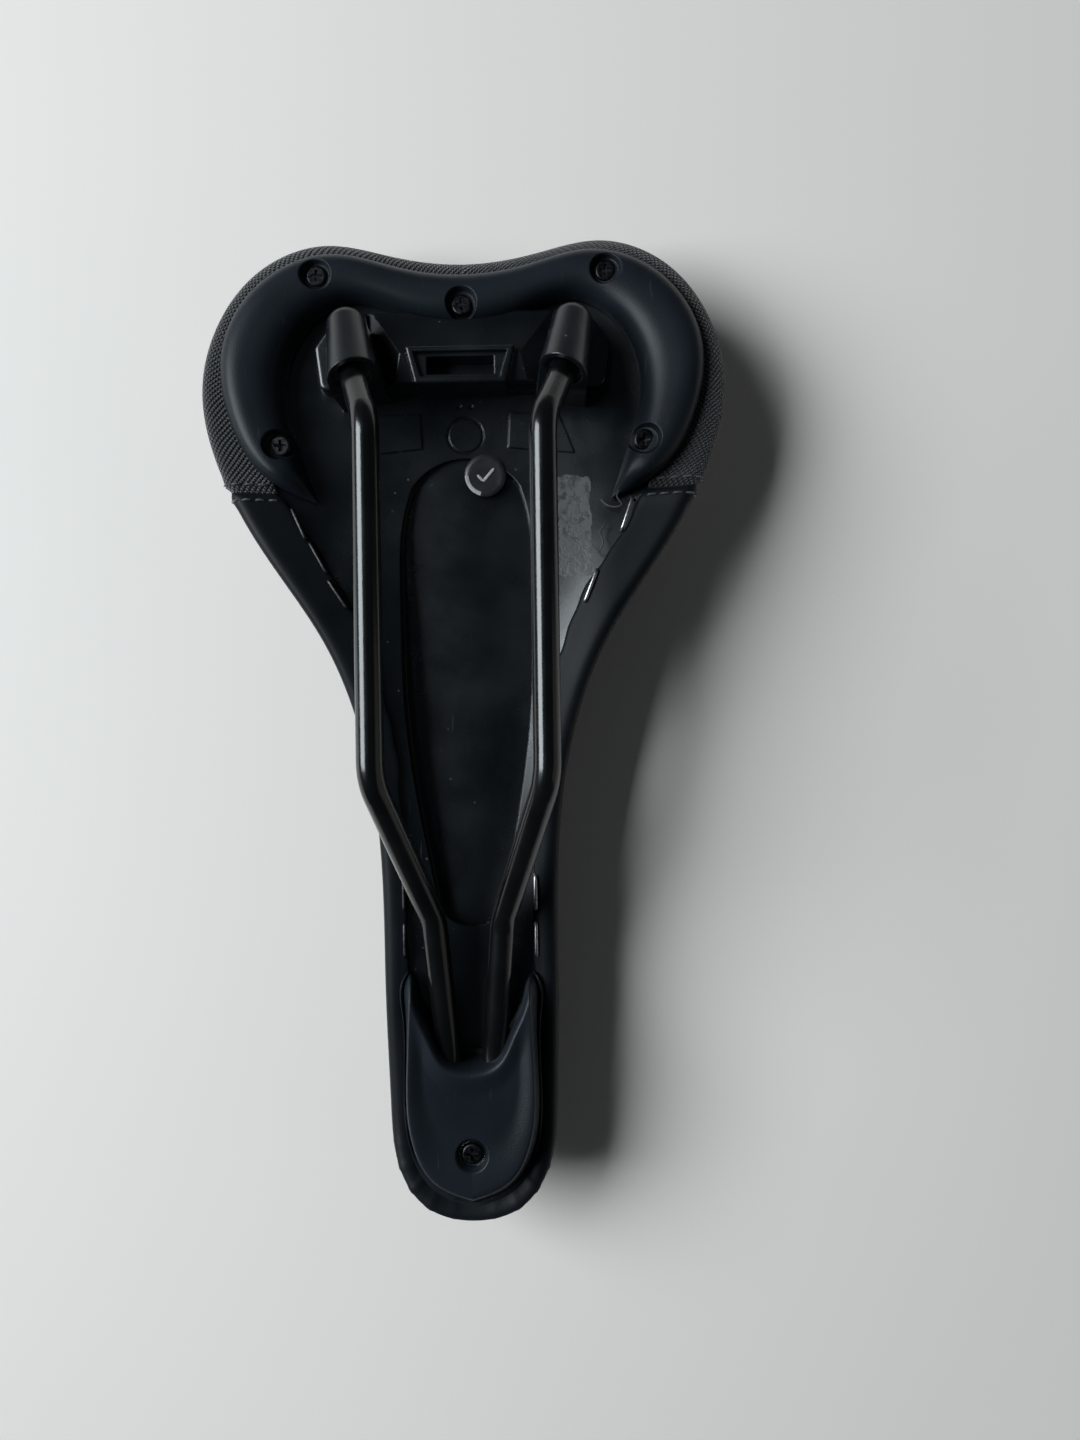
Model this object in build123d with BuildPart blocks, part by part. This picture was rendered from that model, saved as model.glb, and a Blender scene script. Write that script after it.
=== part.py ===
from build123d import *
import os

# Bicycle saddle in its position of use. Millimetres, +Z up towards the rider, nose towards -Y.
# The origin is midway between the two rails, at the middle of their level clamping length.

# ---- rails ----
RAIL_DIAMETER = 7.0
RAIL_SPACING = 44.0
RAIL_REAR = ((22, 43.5, 0), (27.3, 58.6, 12.5), (29.8, 72.6, 19.7))
RAIL_FRONT = ((22, -46, 0), (9.2, -85, 22), (6.2, -124, 28), (6.2, -134, 28), (0, -134, 28))
# one bend radius for each corner of half the rail, from the socket to the front loop
RAIL_BENDS = (12, 11, 16, 14, 30, 5.6)

# ---- base, foam and cover ----
SHELL_WALL = 3.0
SHELL_INSET = 3.0
COVER_WALL = 1.5
SEAM_Y = 31.0
CLEARANCE = 0.1
RECESS_FLOOR = ((75, 34.5), (42, 35.6), (-20, 36.8), (-70, 36.2), (-110, 36))
RECESS_WALL = 2.5
PAD_HEIGHT = 0.5
MARK_DEPTH = 0.35
SKY = 90.0
RECESS_HALF_SPAN = 40.0
RING_Y = 48.0
RING_RADIUS = 5.2
RING_WIDTH = 0.6
EJECTOR_SPOTS = ((1.6, 56), (-1.6, 56))
EJECTOR_RADIUS = 0.6
PAD_PLAN = ((12.5, 54), (12, 44.3), (30.4, 42.2), (26, 53.5))

# ---- structures under the tail ----
BLOCK_PLAN = ((-39, 59), (39, 59), (40.5, 71), (34, 80), (-34, 80), (-40.5, 71))
BLOCK_FLOOR = 27.0
BLOCK_HEIGHT = 13.0
BLOCK_CORNER = 2.5
BLOCK_EDGE = 1.2
BRIDGE_PROFILE = ((59.5, 40), (59.5, 22.5), (67, 21.5), (80, 27.5), (80, 40))
BRIDGE_HALF_WIDTH = 24.0
BRIDGE_FACET = ((15.5, 21), (26, 28.5), (26, 12), (15.5, 12))
POCKET_PLAN = ((-12.2, 58.4), (12.2, 58.4), (14.6, 68.2), (-14.6, 68.2))
POCKET_HOLLOW = ((-10.6, 60), (10.6, 60), (12.6, 66.8), (-12.6, 66.8))
POCKET_EDGE = 0.6
POCKET_FLOOR = 19.5
POCKET_DEPTH = 1.6
SLOT_LENGTH = 18.0
SLOT_WIDTH = 4.8
SLOT_DEPTH = 9.0
SLOT_Y = 63.4
SOCKET_LENGTH = 24.5
SOCKET_MOUTH_RADIUS = 6.7
SOCKET_TIP_RADIUS = 5.2
SOCKET_DOME = 4.2
SOCKET_START = -3.0
SOCKET_MOUTH_SLANT = 28.0
WEB_HEIGHT = 30.0
FLARE_RADIUS = 5.1
FLARE_DEPTH = 2.0
BORE_ROOM = 0.05
BORE_LEAD = 4.0
BORE_END_ROOM = 0.2

# ---- structures under the nose ----
NOSE_BLOCK_FLOOR = 23.6
NOSE_BLOCK_HEIGHT = 14.0
NOSE_BLOCK_WIDTH = 26.0
NOSE_BLOCK_LENGTH = 21.0
NOSE_BLOCK_CORNER = 2.0
NOSE_BLOCK_Y = -133.0
NOSE_RIB_WIDTH = 2.0
NOSE_RIB_LENGTH = 8.0
NOSE_RIB_Y = -145.0
RAIL_ROOM_WIDTH = 20.6
RAIL_ROOM_LENGTH = 31.0
RAIL_ROOM_HEIGHT = 8.3
RAIL_ROOM_Y = -122.5

# ---- guards and fasteners ----
GUARD_HEIGHT = 7.0
NOSE_GUARD_FLOOR = 21.5
NOSE_GUARD_WALL = 2.0
NOSE_GUARD_HEIGHT = 20.0
NOSE_HOLLOW = ((-14.5, -122), (14.5, -122), (14.5, -144), (9, -154), (-9, -154), (-14.5, -144))
NOSE_OPENING_SIDE = 22.0
NOSE_OPENING_Y = -116.0
REAR_SCREWS = ((0, 82.2), (39.3, 90), (-39.3, 90), (49, 43.2), (-49, 43.2))
NOSE_SCREW = (0, -148.5)
HEAD_RADIUS = 2.9
HEAD_HEIGHT = 1.8
SHANK_RADIUS = 1.5
SHANK_LENGTH = 11.0
HEAD_SINK = 2.0
CROSS_LENGTH = 3.2
CROSS_WIDTH = 0.8
CROSS_DEPTH = 1.1
BOSS_RADIUS = 3.6
BOSS_HEIGHT = 4.0
HEAD_ROUND = 0.7
HEAD_ROOM = 0.4
SHANK_ROOM = 0.05
COUNTERBORE_HEIGHT = 8.8
OVERCUT = 1.0

# (x, y, direction x, direction y) of each staple
RIGHT_STAPLES = ((44.8, 22.5, -0.45, -1), (39.6, 13.2, -0.55, -1), (34.4, 3.2, -0.65, -1))
LEFT_STAPLES = ((-44.3, 24, 0.35, -1), (-34.2, 4.6, 0.4, -1))
NOSE_STAPLES = ((18, -78.5, 0, -1), (18, -91.5, 0, -1), (-18, -78.5, 0, -1), (-18, -91.5, 0, -1))
TAIL_STAPLES = (
    (12, 90, 1, 0.1), (-12, 90, 1, 0.1), (26, 92.5, 1, 0.1), (-26, 92.5, 1, -0.1),
    (61.5, 74, 0.25, -1), (-61.5, 74, 0.25, 1), (61, 56, 0.15, 1), (-61, 56, 0.15, -1),
)
STAPLE_SPAN = 10.0
STAPLE_WIRE = 0.9
STAPLE_LEG = 3.5
STAPLE_SINK = 0.3

STICKER_RADIUS = 5.8
STICKER_WALL = 0.25
STICKER_SPOT = (-5.5, 36.6, 33.8)
STICKER_NORMAL = (0, -0.12, -1)

# Cross-sections from tail to nose:
# (position along Y, half width, base edge height, base crown height, cover edge height, cover crown height)
STATIONS = (
    (120, 82, 30, 36, 41, 50),
    (90, 82, 27, 34.5, 41, 55.5),
    (60, 80, 24, 34.5, 38, 55),
    (30, 70, 21, 33.5, 34, 52),
    (2, 52, 19.5, 32, 31, 49),
    (-28, 37, 21, 31, 31, 47.5),
    (-62, 30, 24.5, 31, 33, 47.5),
    (-110, 28, 27.5, 33, 36, 49.5),
    (-150, 28, 29, 33.8, 38, 49),
    (-182, 28, 25, 29, 35, 43),
)

# Right half of each closed plan curve, from the middle of its tail to the tip of its nose
OUTLINE = (
    (0, 96.5), (20, 99), (38, 102), (55, 95.5), (67.5, 79), (71.5, 60), (66.7, 38), (53.6, 13.5),
    (38.4, -10), (28.4, -38), (24.4, -70), (24, -107), (23.3, -138), (21.2, -154), (0, -168),
)
FLAP_EDGE = (
    (0, 86), (20, 88), (38, 90.5), (54, 80), (60, 62), (54, 41), (43, 22), (33, 5),
    (26, -12), (19.5, -40), (16.8, -72), (16.5, -110), (15.4, -134), (13.5, -146), (0, -157),
)
RECESS = (
    (0, 41.5), (15, 33.5), (18, 20), (18.2, 2), (17.6, -26), (12.8, -62), (9.2, -81), (0, -88.5),
)


# ---- shapes shared by several pieces ----

def plan_curve(points):
    """A closed symmetric curve: an arc across the tail, a spline down each side, an arc round the nose."""
    tail_end = points[1]
    nose_end = points[-2]
    ThreePointArc((-tail_end[0], tail_end[1]), points[0], tail_end)
    ThreePointArc(nose_end, points[-1], (-nose_end[0], nose_end[1]))
    side = Spline(*points[1:-1])
    mirror(side, about=Plane.YZ)


def moved_out(points, grow):
    """The points of a plan curve, each moved outwards by grow, square to the curve."""
    moved = [(0, points[0][1] + grow)]
    for before, here, after in zip(points, points[1:], points[2:]):
        step_in = Vector(*here) - Vector(*before)
        step_out = Vector(*after) - Vector(*here)
        tangent = step_in.normalized() * step_out.length + step_out.normalized() * step_in.length
        tangent = tangent.normalized()
        moved.append((here[0] - tangent.Y * grow, here[1] + tangent.X * grow))
    moved.append((0, points[-1][1] - grow))
    return moved


def plan_prism(points, grow=0.0):
    """The upright prism of a plan curve, with the curve moved outwards by grow."""
    with BuildPart() as prism:
        with BuildSketch(Plane.XY):
            with BuildLine():
                plan_curve(moved_out(points, grow))
            make_face()
        extrude(amount=SKY)
    return prism.part


def above_recess_floor(lift):
    """Everything above the level floor of the long recess, when it is raised by lift."""
    start, *_, end = RECESS_FLOOR
    with BuildPart() as space:
        with BuildSketch(Plane.YZ):
            with BuildLine():
                Spline(*[(y, z + lift) for y, z in RECESS_FLOOR])
                Polyline((end[0], end[1] + lift), (end[0], SKY), (start[0], SKY), (start[0], start[1] + lift))
            make_face()
        extrude(amount=RECESS_HALF_SPAN, both=True)
    return space.part


def above_base(lift):
    """Everything above the underside of the base, when that surface is raised by lift."""
    with BuildPart() as space:
        for y, half, edge, crown, _, _ in STATIONS:
            with BuildSketch(Plane.XZ.offset(-y)):
                with BuildLine():
                    ThreePointArc((-half, edge + lift), (0, crown + lift), (half, edge + lift))
                    Polyline((half, edge + lift), (half, SKY), (-half, SKY), (-half, edge + lift))
                make_face()
        loft()
    return space.part


def below_top(drop):
    """Everything below the rider's side of the cover, when that surface is lowered by drop."""
    with BuildPart() as space:
        for y, half, _, _, edge, crown in STATIONS:
            with BuildSketch(Plane.XZ.offset(-y)):
                with BuildLine():
                    ThreePointArc((-half, edge - drop), (0, crown - drop), (half, edge - drop))
                    Polyline((half, edge - drop), (half, 0), (-half, 0), (-half, edge - drop))
                make_face()
        loft()
    return space.part


above_underside = above_base(0)
above_shell_top = above_base(SHELL_WALL)
above_flap = above_base(-COVER_WALL - CLEARANCE)
flap_underside = above_flap.faces().filter_by(GeomType.BSPLINE).sort_by(Axis.Z)[0]


def seat_plane(surface, x, y, along=(0, 1, 0)):
    """The plane that lies on a surface at (x, y), with its Z axis pointing down and out of the saddle."""
    point, normal = surface.find_intersection_points(Axis((x, y, -SKY), (0, 0, 1)))[0]
    if normal.Z > 0:
        normal = -normal
    side = normal.cross(Vector(*along))
    return Plane(origin=point, x_dir=side.cross(normal), z_dir=normal)


# ---- rails: one bent wire ----

def half_rail():
    corners = tuple(reversed(RAIL_REAR)) + RAIL_FRONT
    with BuildPart() as half:
        with BuildLine() as route:
            FilletPolyline(*corners, radius=list(RAIL_BENDS))
        with BuildSketch(Plane(origin=route.line @ 0, z_dir=route.line % 0)):
            Circle(RAIL_DIAMETER / 2)
        sweep()
    return half.part


with BuildPart() as seat_rail:
    add(half_rail())
    mirror(about=Plane.YZ)


# ---- staples ----

def staples(spots):
    """Wire staples on the flap, each with its legs sunk in it."""
    with BuildPart() as group:
        for x, y, along_x, along_y in spots:
            with Locations(seat_plane(flap_underside, x, y, (along_x, along_y, 0)).offset(-STAPLE_SINK)):
                Box(STAPLE_SPAN, STAPLE_WIRE, STAPLE_WIRE, align=(Align.CENTER, Align.CENTER, Align.MIN))
                with Locations((STAPLE_SPAN / 2 - STAPLE_WIRE / 2, 0), (STAPLE_WIRE / 2 - STAPLE_SPAN / 2, 0)):
                    Box(STAPLE_WIRE, STAPLE_WIRE, STAPLE_LEG, align=(Align.CENTER, Align.CENTER, Align.MAX))
    return group.part


with BuildPart() as staples_right:
    add(staples(RIGHT_STAPLES))

with BuildPart() as staples_left:
    add(staples(LEFT_STAPLES))

with BuildPart() as staples_nose:
    add(staples(NOSE_STAPLES))

with BuildPart() as staples_tail:
    add(staples(TAIL_STAPLES))

with BuildPart() as all_staples:
    add(staples_right.part)
    add(staples_left.part)
    add(staples_nose.part)
    add(staples_tail.part)


# ---- screws ----

def screw_plane(x, y):
    return Plane(origin=(x, y, screw_heights[(x, y)]), z_dir=(0, 0, -1))


def guard_floor(x, y):
    """Height of the rear guard's lower face at (x, y)."""
    return seat_plane(flap_underside, x, y).origin.Z - GUARD_HEIGHT


screw_heights = {spot: guard_floor(*spot) + HEAD_SINK for spot in REAR_SCREWS}
screw_heights[NOSE_SCREW] = NOSE_GUARD_FLOOR + HEAD_SINK


def screws(spots):
    """Pan-head screws with a cross recess, heads facing down."""
    with BuildPart() as group:
        for x, y in spots:
            plane = screw_plane(x, y)
            with BuildSketch(plane.offset(-HEAD_HEIGHT)):
                Circle(HEAD_RADIUS)
            head = extrude(amount=HEAD_HEIGHT)
            fillet(head.edges().group_by(Axis.Z)[0], HEAD_ROUND)
            with BuildSketch(plane.offset(-HEAD_HEIGHT)):
                Circle(SHANK_RADIUS)
            extrude(amount=-SHANK_LENGTH)
            with BuildSketch(plane.offset(-CROSS_DEPTH)):
                Rectangle(CROSS_LENGTH, CROSS_WIDTH)
                Rectangle(CROSS_WIDTH, CROSS_LENGTH)
            extrude(amount=CROSS_DEPTH + OVERCUT, mode=Mode.SUBTRACT)
    return group.part


def screw_clearance(spots):
    """The counterbore and hole that a screw needs in a guard and in the base below it."""
    with BuildPart() as group:
        for x, y in spots:
            plane = screw_plane(x, y)
            with BuildSketch(plane.offset(-HEAD_HEIGHT)):
                Circle(HEAD_RADIUS + HEAD_ROOM)
            extrude(amount=COUNTERBORE_HEIGHT)
            with BuildSketch(plane.offset(-HEAD_HEIGHT)):
                Circle(SHANK_RADIUS + SHANK_ROOM)
            extrude(amount=-SHANK_LENGTH - CLEARANCE)
    return group.part


with BuildPart() as rear_guard_screws:
    add(screws(REAR_SCREWS))

with BuildPart() as nose_guard_screw:
    add(screws((NOSE_SCREW,)))

rear_screw_holes = screw_clearance(REAR_SCREWS)
nose_screw_hole = screw_clearance((NOSE_SCREW,))


# ---- plan of the rear guard ----

def guard_plan():
    """The horseshoe plan of the rear guard: outer edge, two pointed arms and a scalloped inner lip."""
    outer_tail = ThreePointArc((-18, 94), (0, 91.7), (18, 94))
    lip = ThreePointArc((-18.5, 81.5), (0, 77.5), (18.5, 81.5))
    tip = (40, 28.5)
    outer = Spline(outer_tail @ 1, (36, 97.5), (53, 91), (65, 72), (62.8, 50), (54, 35.5), tip)
    inner = Spline(lip @ 1, (31, 84.3), (42.5, 77), (48.3, 61), (44.9, 43), tip)
    mirror([outer, inner], about=Plane.YZ)


with BuildPart() as guard_prism:
    with BuildSketch(Plane.XY):
        with BuildLine():
            guard_plan()
        make_face()
    extrude(amount=SKY)


# ---- base ----

def under_tail_block():
    """The block under the tail, which joins the two rail sockets."""
    with BuildPart() as block:
        with BuildSketch(Plane.XY.offset(BLOCK_FLOOR)):
            Polygon(*BLOCK_PLAN, align=None)
        extrude(amount=BLOCK_HEIGHT)
        fillet(block.edges().filter_by(Axis.Z), BLOCK_CORNER)
        fillet(block.faces().sort_by(Axis.Z)[0].edges(), BLOCK_EDGE)
        with BuildSketch(Plane.YZ):
            Polygon(*BRIDGE_PROFILE, align=None)
        extrude(amount=BRIDGE_HALF_WIDTH, both=True)
        with BuildSketch(Plane.XZ):
            Polygon(*BRIDGE_FACET, align=None)
            mirror(about=Plane.YZ)
        extrude(amount=-SKY, mode=Mode.SUBTRACT)
        with BuildSketch(Plane.XY.offset(POCKET_FLOOR)):
            Polygon(*POCKET_PLAN, align=None)
        extrude(amount=BLOCK_HEIGHT)
        fillet(block.faces().sort_by(Axis.Z)[0].edges(), POCKET_EDGE)
        with BuildSketch(Plane.XY.offset(POCKET_FLOOR)):
            Polygon(*POCKET_HOLLOW, align=None)
        extrude(amount=POCKET_DEPTH, mode=Mode.SUBTRACT)
        with BuildSketch(Plane((0, SLOT_Y, POCKET_FLOOR))):
            Rectangle(SLOT_LENGTH, SLOT_WIDTH)
        extrude(amount=SLOT_DEPTH, mode=Mode.SUBTRACT)
    return block.part


def socket_plane(advance):
    """The plane square to the right-hand socket, at a distance along it from its corner in the rail."""
    corner = Vector(*RAIL_REAR[1])
    axis = (Vector(*RAIL_REAR[2]) - corner).normalized()
    return Plane(origin=corner + axis * advance, x_dir=axis.cross(Vector(0, 0, 1)), z_dir=axis)


def rail_socket():
    """The right-hand tapered socket for the rail's rear end, with a slanted mouth and a web up to the base."""
    start = socket_plane(SOCKET_START)
    web_plane = Plane(origin=start.origin, x_dir=start.x_dir, z_dir=start.x_dir.cross(start.z_dir))
    mouth_plane = socket_plane(0).rotated((0, SOCKET_MOUTH_SLANT, 0))
    with BuildPart() as socket:
        with BuildSketch(start):
            Circle(SOCKET_MOUTH_RADIUS)
        with BuildSketch(start.offset(SOCKET_LENGTH)):
            Circle(SOCKET_TIP_RADIUS)
        loft()
        fillet(socket.edges().sort_by(Axis.Y)[-1], SOCKET_DOME)
        with BuildSketch(web_plane):
            Polygon(
                (-SOCKET_MOUTH_RADIUS, 0), (SOCKET_MOUTH_RADIUS, 0),
                (SOCKET_TIP_RADIUS, SOCKET_LENGTH - SOCKET_DOME),
                (-SOCKET_TIP_RADIUS, SOCKET_LENGTH - SOCKET_DOME), align=None,
            )
        extrude(amount=WEB_HEIGHT, dir=(0, 0, 1))
        split(bisect_by=mouth_plane, keep=Keep.TOP)
    return socket.part


def socket_bore():
    """The hole for the rail's rear end, flared at the mouth."""
    end = Vector(*RAIL_REAR[2])
    depth = (end - Vector(*RAIL_REAR[1])).length
    lead = BORE_LEAD - SOCKET_START
    with BuildPart() as bore:
        with BuildSketch(socket_plane(-lead)):
            Circle(RAIL_DIAMETER / 2 + BORE_ROOM)
        extrude(amount=lead + depth + BORE_END_ROOM)
        with BuildSketch(socket_plane(-lead)):
            Circle(FLARE_RADIUS)
        extrude(amount=lead + FLARE_DEPTH)
    return bore.part


def nose_socket():
    """The block that holds the rail's front loop, and the boss for the nose guard's screw."""
    with BuildPart() as block:
        with BuildSketch(Plane.XY.offset(NOSE_BLOCK_FLOOR)):
            with Locations((0, NOSE_BLOCK_Y)):
                RectangleRounded(NOSE_BLOCK_WIDTH, NOSE_BLOCK_LENGTH, NOSE_BLOCK_CORNER)
            with Locations(NOSE_SCREW):
                Circle(BOSS_RADIUS)
            with Locations((0, NOSE_RIB_Y)):
                Rectangle(NOSE_RIB_WIDTH, NOSE_RIB_LENGTH)
        extrude(amount=NOSE_BLOCK_HEIGHT)
        with BuildSketch(Plane.XY.offset(NOSE_BLOCK_FLOOR - OVERCUT)):
            with Locations((0, RAIL_ROOM_Y)):
                Rectangle(RAIL_ROOM_WIDTH, RAIL_ROOM_LENGTH)
        extrude(amount=RAIL_ROOM_HEIGHT + OVERCUT, mode=Mode.SUBTRACT)
    return block.part


def pads():
    """Two faint raised pads behind the recess."""
    with BuildPart() as pair:
        with BuildSketch(Plane.XY):
            Polygon(*PAD_PLAN, align=None)
            mirror(about=Plane.YZ)
        extrude(amount=SKY)
        add(above_base(-PAD_HEIGHT), mode=Mode.INTERSECT)
        add(above_base(SHELL_WALL / 2), mode=Mode.SUBTRACT)
    return pair.part


def mould_marks():
    """A ring groove and two ejector marks in the underside."""
    with BuildPart() as marks:
        with BuildSketch(Plane.XY):
            with Locations((0, RING_Y)):
                Circle(RING_RADIUS)
                Circle(RING_RADIUS - RING_WIDTH, mode=Mode.SUBTRACT)
            with Locations(*EJECTOR_SPOTS):
                Circle(EJECTOR_RADIUS)
        extrude(amount=SKY)
        add(above_base(MARK_DEPTH), mode=Mode.SUBTRACT)
    return marks.part


def recess_walls():
    """The raised walls and floor of the long recess, on the rider's side of the base."""
    with BuildPart() as walls:
        add(plan_prism(RECESS, RECESS_WALL))
        add(above_base(SHELL_WALL / 2), mode=Mode.INTERSECT)
        add(above_recess_floor(SHELL_WALL), mode=Mode.SUBTRACT)
    return walls.part


def recess_hollow():
    with BuildPart() as hollow:
        add(plan_prism(RECESS))
        add(above_recess_floor(0), mode=Mode.SUBTRACT)
    return hollow.part


def structures():
    """The tail block, rail sockets, nose socket and pads, cut off just inside the base's wall."""
    with BuildPart() as group:
        add(under_tail_block())
        add(rail_socket())
        add(mirror(rail_socket(), about=Plane.YZ, mode=Mode.PRIVATE))
        add(nose_socket())
        add(guard_prism.part, mode=Mode.SUBTRACT)
        add(above_base(SHELL_WALL / 2), mode=Mode.SUBTRACT)
    return group.part


def screw_bosses():
    """Short bosses on the rider's side of the base, one above each rear screw."""
    with BuildPart() as group:
        with BuildSketch(Plane.XY):
            with Locations(*REAR_SCREWS):
                Circle(BOSS_RADIUS)
        extrude(amount=SKY)
        add(above_base(SHELL_WALL / 2), mode=Mode.INTERSECT)
        add(above_base(SHELL_WALL + BOSS_HEIGHT), mode=Mode.SUBTRACT)
    return group.part


with BuildPart() as base_shell:
    add(plan_prism(OUTLINE, -SHELL_INSET))
    add(above_underside, mode=Mode.INTERSECT)
    add(above_shell_top, mode=Mode.SUBTRACT)
    add(recess_walls())
    add(screw_bosses())
    add(recess_hollow(), mode=Mode.SUBTRACT)
    add(structures())
    add(pads())
    add(mould_marks(), mode=Mode.SUBTRACT)
    add(socket_bore(), mode=Mode.SUBTRACT)
    add(mirror(socket_bore(), about=Plane.YZ, mode=Mode.PRIVATE), mode=Mode.SUBTRACT)
    add(rear_screw_holes, mode=Mode.SUBTRACT)
    add(nose_screw_hole, mode=Mode.SUBTRACT)
    add(all_staples.part, mode=Mode.SUBTRACT)


# ---- foam and cover ----

def shell_room():
    """The room that the recess walls and the screw bosses take up in the foam."""
    with BuildPart() as room:
        with BuildSketch(Plane.XY):
            Polygon(
                (-22, 45), (22, 45), (21.5, -28), (13.5, -84), (8, -93),
                (-8, -93), (-13.5, -84), (-21.5, -28), align=None,
            )
        extrude(amount=SKY)
        add(above_recess_floor(SHELL_WALL + CLEARANCE), mode=Mode.SUBTRACT)
    with BuildPart() as bosses:
        with BuildSketch(Plane.XY):
            with Locations(*REAR_SCREWS):
                Circle(BOSS_RADIUS + CLEARANCE)
        extrude(amount=SKY)
        add(above_base(SHELL_WALL + BOSS_HEIGHT + CLEARANCE), mode=Mode.SUBTRACT)
    return room.part, bosses.part


with BuildPart() as foam_pad:
    add(plan_prism(OUTLINE, -COVER_WALL - CLEARANCE))
    add(below_top(COVER_WALL + CLEARANCE), mode=Mode.INTERSECT)
    add(above_base(SHELL_WALL + CLEARANCE), mode=Mode.INTERSECT)
    for room in shell_room():
        add(room, mode=Mode.SUBTRACT)


def cover_skin():
    """The whole cover before it is divided into panels: top, sides and the flap turned in below the base."""
    with BuildPart() as core:
        add(plan_prism(OUTLINE, -COVER_WALL))
        add(below_top(COVER_WALL), mode=Mode.INTERSECT)
        add(above_base(-CLEARANCE), mode=Mode.INTERSECT)
    with BuildPart() as window:
        add(plan_prism(FLAP_EDGE))
        add(above_base(SHELL_WALL), mode=Mode.SUBTRACT)
    with BuildPart() as skin:
        add(plan_prism(OUTLINE))
        add(below_top(0), mode=Mode.INTERSECT)
        add(above_flap, mode=Mode.INTERSECT)
        add(core.part, mode=Mode.SUBTRACT)
        add(window.part, mode=Mode.SUBTRACT)
        add(all_staples.part, mode=Mode.SUBTRACT)
        add(rear_screw_holes, mode=Mode.SUBTRACT)
        add(nose_screw_hole, mode=Mode.SUBTRACT)
    return skin.part


cover = cover_skin()


with BuildPart() as cover_front:
    add(cover)
    split(bisect_by=Plane.XZ.offset(-SEAM_Y), keep=Keep.TOP)

with BuildPart() as cover_rear:
    add(cover)
    split(bisect_by=Plane.XZ.offset(-SEAM_Y), keep=Keep.BOTTOM)


# ---- guards ----

with BuildPart() as rear_guard:
    add(guard_prism.part)
    add(above_base(-COVER_WALL - CLEARANCE - GUARD_HEIGHT), mode=Mode.INTERSECT)
    add(above_flap, mode=Mode.SUBTRACT)
    add(rear_screw_holes, mode=Mode.SUBTRACT)
    add(all_staples.part, mode=Mode.SUBTRACT)


def nose_guard_plan():
    """The U-shaped plan of the nose guard: two narrow arms, a crotch for the rails and a round front."""
    front = ThreePointArc((17.4, -149), (0, -164.3), (-17.4, -149))
    crotch = ThreePointArc((-6.2, -122.2), (0, -124), (6.2, -122.2))
    outer = Spline((18.9, -102), (19.3, -112), (19, -132), front @ 0)
    inner = Spline(crotch @ 1, (10.7, -114.5), (13.9, -107), (15.6, -101.8))
    tip = ThreePointArc((15.6, -101.8), (17.3, -100), (18.9, -102))
    mirror([outer, inner, tip], about=Plane.YZ)


with BuildPart() as nose_guard:
    with BuildSketch(Plane.XY.offset(NOSE_GUARD_FLOOR)):
        with BuildLine():
            nose_guard_plan()
        make_face()
    extrude(amount=NOSE_GUARD_HEIGHT)
    with BuildSketch(Plane.XY.offset(NOSE_GUARD_FLOOR + NOSE_GUARD_WALL)):
        Polygon(*NOSE_HOLLOW, align=None)
        with Locations((0, NOSE_OPENING_Y)):
            Rectangle(NOSE_OPENING_SIDE, NOSE_OPENING_SIDE)
    extrude(amount=NOSE_GUARD_HEIGHT, mode=Mode.SUBTRACT)
    add(above_flap, mode=Mode.SUBTRACT)
    add(nose_screw_hole, mode=Mode.SUBTRACT)


# ---- inspection sticker: a thin disc that leans on the rear edge of the recess ----

with BuildPart() as inspection_sticker:
    with BuildSketch(Plane(origin=STICKER_SPOT, x_dir=(1, 0, 0), z_dir=STICKER_NORMAL)):
        Circle(STICKER_RADIUS)
    extrude(amount=STICKER_WALL)


# ---- one file for each piece ----

os.makedirs("parts", exist_ok=True)

base_shell.part.label = "base_shell"
export_step(base_shell.part, "parts/base_shell.step")

foam_pad.part.label = "foam_pad"
export_step(foam_pad.part, "parts/foam_pad.step")

cover_front.part.label = "cover_front"
export_step(cover_front.part, "parts/cover_front.step")

cover_rear.part.label = "cover_rear"
export_step(cover_rear.part, "parts/cover_rear.step")

seat_rail.part.label = "seat_rail"
export_step(seat_rail.part, "parts/seat_rail.step")

rear_guard.part.label = "rear_guard"
export_step(rear_guard.part, "parts/rear_guard.step")

rear_guard_screws.part.label = "rear_guard_screws"
export_step(rear_guard_screws.part, "parts/rear_guard_screws.step")

nose_guard.part.label = "nose_guard"
export_step(nose_guard.part, "parts/nose_guard.step")

nose_guard_screw.part.label = "nose_guard_screw"
export_step(nose_guard_screw.part, "parts/nose_guard_screw.step")

staples_left.part.label = "staples_left"
export_step(staples_left.part, "parts/staples_left.step")

staples_right.part.label = "staples_right"
export_step(staples_right.part, "parts/staples_right.step")

staples_nose.part.label = "staples_nose"
export_step(staples_nose.part, "parts/staples_nose.step")

staples_tail.part.label = "staples_tail"
export_step(staples_tail.part, "parts/staples_tail.step")

inspection_sticker.part.label = "inspection_sticker"
export_step(inspection_sticker.part, "parts/inspection_sticker.step")
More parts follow.
